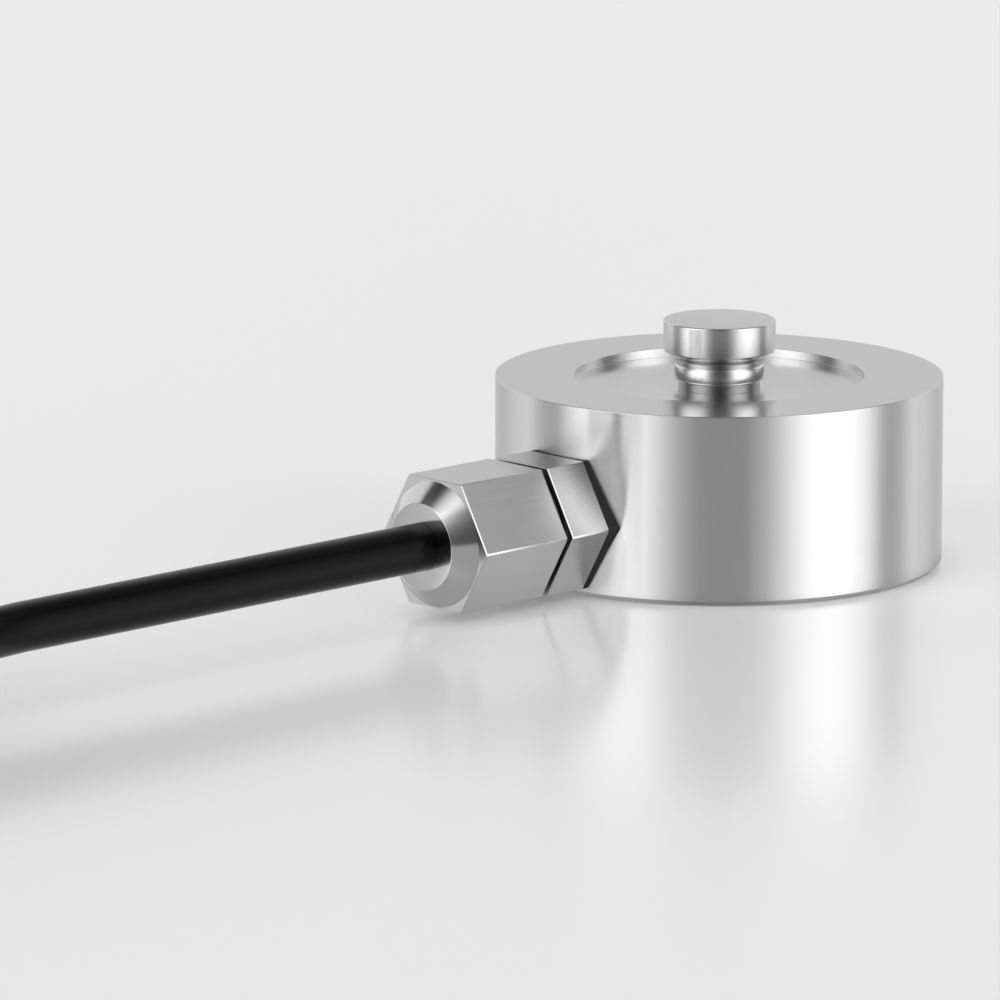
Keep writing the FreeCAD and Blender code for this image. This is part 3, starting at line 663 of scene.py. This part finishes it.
def makeStrands():
    s = strandSize
    mesh = bpy.data.meshes.new("bareEnds")
    mesh.from_pydata([tuple(c * mm for c in start) for start in s["starts"]], [], [])
    piece = newPiece("bareEnds", mesh)
    wires = piece.modifiers.new("wires", "NODES")
    group = makeStrandGroup()
    values = {
        "Heading": s["heading"], "Length": s["length"] * mm, "Strand Radius": s["strand"] * mm,
        "Around": s["around"], "Turns": s["turns"], "Steps": s["stepsPerTurn"], "Sides": s["sides"],
        "Material": tinnedWire,
    }
    wires.node_group = group
    for socket in group.interface.items_tree:
        if socket.in_out == "INPUT" and socket.name in values:
            wires[socket.identifier] = values[socket.name]
    bakeModifiers(piece)
    weightNormals(piece)
    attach(piece, "root")
    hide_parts("stripped_ends")
    return piece


strands = makeStrands()
print("bare ends twisted,", len(strands.data.polygons), "faces")

nodeFinish = {
    "base_cover": coverSteel, "terminal_board": boardMask,
    "zero_resistor": chipBlack, "span_resistor_a": chipBlack, "span_resistor_b": chipBlack,
    "gland_gasket": blackRubber, "nut_o_ring": blackRubber, "gland_seal": blackRubber,
    "gland_washer": coneSteel, "cable_entry": jacket, "core_shield": tinnedWire, "lead_shield": tinnedWire,
    "coil_tie_a": tieTape, "coil_tie_b": tieTape, "tail_sleeve": sleeveSkin,
}
for letter in "abcd":
    nodeFinish["strain_gauge_" + letter] = gaugeFilm
    nodeFinish["gauge_leads_" + letter] = tinnedWire
for colour, skin in insulation.items():
    nodeFinish["core_" + colour] = skin
    nodeFinish["lead_" + colour] = skin
for name, material in nodeFinish.items():
    dress(nodes[name], material)

print("finishes given")


# camera, fitted to the photograph: a long lens from about 12 degrees above the floor
view = {
    "target": (-0.012353, 0.011871, 0.004717), "turn": 43.858, "rise": 11.821, "distance": 0.64694,
    "lens": 297.1, "sensor": 36.0,
}


def makeCamera():
    turn, rise = math.radians(view["turn"]), math.radians(view["rise"])
    back = Vector((-math.sin(turn) * math.cos(rise), -math.cos(turn) * math.cos(rise), math.sin(rise)))
    camera = bpy.data.objects.new("camera", bpy.data.cameras.new("camera"))
    camera.data.lens = view["lens"]
    camera.data.sensor_width = view["sensor"]
    camera.location = Vector(view["target"]) + back * view["distance"]
    camera.rotation_euler = (-back).to_track_quat("-Z", "Y").to_euler()
    bpy.context.scene.collection.objects.link(camera)
    bpy.context.scene.camera = camera
    return Vector((back.x, back.y, 0)).normalized()


towardsCamera = makeCamera()

# the floor darkens within the contact distance of what stands on it, as seen and as mirrored in the metal
floorLook = {
    "size": 6.0, "tone": (0.86, 0.86, 0.86), "smudgeShare": 0.985, "smudgeSize": 0.3,
    "roughness": 0.18, "ior": 2.3, "lift": 0.22,
    "contact": 0.003, "contactSamples": 6, "contactSeen": 0.70, "contactMirrored": 0.88,
}


def makeFloor():
    s = floorLook
    work = bmesh.new()
    bmesh.ops.create_grid(work, x_segments=1, y_segments=1, size=s["size"] / 2)
    mesh = bpy.data.meshes.new("floor")
    work.to_mesh(mesh)
    work.free()
    floor = newPiece("floor", mesh)
    material, tree, shader, place = newMaterial("floorBoard")
    touch = useGroup(tree, handling, {"Vector": place, "Size": s["smudgeSize"]})
    darkened = tuple(s["smudgeShare"] * c for c in s["tone"])
    tree.links.new(shadeBetween(tree, touch["Smudge"], darkened, s["tone"]), shader.inputs["Base Color"])
    shader.inputs["Roughness"].default_value = s["roughness"]
    shader.inputs["IOR"].default_value = s["ior"]
    shader.inputs["Emission Color"].default_value = (1.0, 1.0, 1.0, 1.0)
    free = addNode(
        tree, "ShaderNodeAmbientOcclusion", {"Distance": s["contact"]}, samples=s["contactSamples"])
    gap = mathNode(tree, "SUBTRACT", free.outputs["AO"], 1.0)
    seen = mathNode(tree, "MULTIPLY_ADD", gap, s["contactSeen"], 1.0)
    low = addNode(tree, "ShaderNodeLayerWeight", {"Blend": 0.5}).outputs["Facing"]
    depth = mathNode(tree, "MULTIPLY", low, s["contactMirrored"])  # a low mirrored ray looks into the gap
    mirrored = mathNode(tree, "MULTIPLY_ADD", gap, depth, 1.0)
    path = addNode(tree, "ShaderNodeLightPath").outputs
    lift = mathNode(tree, "MULTIPLY", path["Is Camera Ray"], mathNode(tree, "MULTIPLY", seen, s["lift"]))
    tree.links.new(lift, shader.inputs["Emission Strength"])
    # metal sees the studio past the floor
    clear = addNode(tree, "ShaderNodeBsdfTransparent", {"Color": mirrored})
    mixed = addNode(tree, "ShaderNodeMixShader", {
        0: path["Is Glossy Ray"], 1: shader.outputs[0], 2: clear.outputs[0]})
    output = next(node for node in tree.nodes if node.type == "OUTPUT_MATERIAL")
    tree.links.new(mixed.outputs[0], output.inputs["Surface"])
    dress(floor, material)


makeFloor()

# the studio all round: strengths by degrees from the camera's side, on rings at four heights
# the single tones lie below and above the rings, and the camera itself sees the last one
studio = {
    "below": [
        (0, 0.56), (12, 0.57), (18, 0.74), (24, 0.90), (30, 1.15), (37, 1.44), (43, 1.74), (57, 2.20),
        (64, 2.20), (72, 1.95), (80, 1.75), (87, 1.22), (92, 0.80), (97, 0.68), (105, 0.78), (117, 1.20),
        (130, 1.05), (147, 0.78), (180, 0.75)],
    "level": [
        (0, 0.10), (14, 0.16), (23, 0.45), (32, 1.2), (42, 2.1), (57, 2.75), (66, 2.5), (74, 2.05),
        (83, 1.3), (91, 0.62), (95, 0.48), (99, 0.32), (104, 0.31), (111, 0.70), (120, 1.05), (135, 1.15),
        (154, 1.16), (166, 0.95), (180, 0.85)],
    "raised": [
        (0, 0.11), (22, 0.15), (36, 1.2), (48, 2.3), (60, 2.6), (75, 1.6), (90, 0.60), (98, 0.38),
        (106, 0.12), (114, 0.14), (121, 0.85), (130, 1.10), (150, 0.70), (180, 0.50)],
    "high": [
        (0, 0.15), (14, 0.50), (25, 0.80), (44, 1.60), (58, 1.30), (72, 0.85), (86, 0.22), (98, 0.05),
        (125, 0.10), (180, 0.12)],
    "most": 3.5, "nadir": 0.22, "under": 0.58, "zenith": 0.36, "seen": 0.86,
}
# each tone takes over from the one below it between these heights of the direction
studioJoins = {
    "under": (-0.97, -0.95), "below": (-0.85, -0.45), "level": (-0.05, 0.05), "raised": (0.54, 0.66),
    "high": (0.67, 0.76), "zenith": (0.94, 0.98),
}


def makeStudio():
    world = bpy.data.worlds.new("studio")
    bpy.context.scene.world = world
    world.use_nodes = True
    tree = world.node_tree
    tree.nodes.clear()
    way = addNode(tree, "ShaderNodeTexCoord").outputs["Generated"]
    x, y, height = addNode(tree, "ShaderNodeSeparateXYZ", {0: way}).outputs
    level = addNode(tree, "ShaderNodeCombineXYZ", {0: x, 1: y}).outputs[0]
    level = addNode(tree, "ShaderNodeVectorMath", {0: level}, operation="NORMALIZE").outputs[0]
    facing = addNode(tree, "ShaderNodeVectorMath", {0: level, 1: towardsCamera}, operation="DOT_PRODUCT")
    clamped = mathNode(tree, "MAXIMUM", mathNode(tree, "MINIMUM", facing.outputs["Value"], 1.0), -1.0)
    share = mathNode(tree, "DIVIDE", mathNode(tree, "ARCCOSINE", clamped), math.pi)

    def ring(name):
        ramp = addNode(tree, "ShaderNodeValToRGB", {0: share})
        marks = ramp.color_ramp.elements
        while len(marks) < len(studio[name]):
            marks.new(0.5)  # moved to its place below
        for mark, (degrees, strength) in zip(marks, studio[name]):
            mark.position = degrees / 180
            mark.color = (*[strength / studio["most"]] * 3, 1)
        return mathNode(tree, "MULTIPLY", ramp.outputs[0], studio["most"])

    tone = studio["nadir"]
    for name, (low, high) in studioJoins.items():
        upper = ring(name) if isinstance(studio[name], list) else studio[name]
        values = {0: height, 1: low, 2: high}
        part = addNode(tree, "ShaderNodeMapRange", values, interpolation_type="SMOOTHSTEP").outputs[0]
        tone = addNode(tree, "ShaderNodeMix", {0: part, 2: tone, 3: upper}).outputs[0]
    path = addNode(tree, "ShaderNodeLightPath").outputs
    tone = addNode(tree, "ShaderNodeMix", {0: path["Is Camera Ray"], 2: tone, 3: studio["seen"]}).outputs[0]
    light = addNode(tree, "ShaderNodeBackground", {"Strength": tone})
    tree.links.new(light.outputs[0], addNode(tree, "ShaderNodeOutputWorld").inputs["Surface"])


makeStudio()
bpy.context.scene.view_settings.view_transform = "Standard"
print("stage and light ready")
